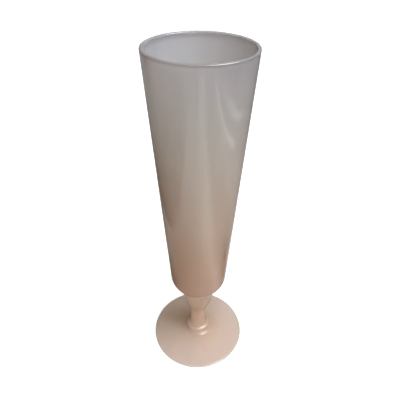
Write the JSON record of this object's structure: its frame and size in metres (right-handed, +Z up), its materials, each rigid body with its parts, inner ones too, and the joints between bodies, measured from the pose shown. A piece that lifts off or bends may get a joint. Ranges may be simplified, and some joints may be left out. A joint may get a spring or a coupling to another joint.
{
  "type": "opaline glass vase",
  "caption": "Tall conical vase of translucent milky glass with a rounded bottom, standing on a short waisted stem and a round foot; it holds water and cut stems.",
  "frame": {"origin": "on the table under the middle of the foot", "axes": "+Z up along the vase's axis; the vase is round, so X and Y only fix the front, which looks along -Y"},
  "size_m": [0.109, 0.109, 0.35],
  "materials": {
    "bowl_glass": "glossy, translucent milky, greyish lavender at the mouth turning pinkish tan lower down",
    "stem_glass": "glossy, translucent pinkish tan",
    "foot_glass": "glossy, translucent pale pink-beige"
  },
  "bodies": {
    "root": {"bowl": "bowl_glass", "stem": "stem_glass", "foot": "foot_glass"}
  },
  "joints": []
}
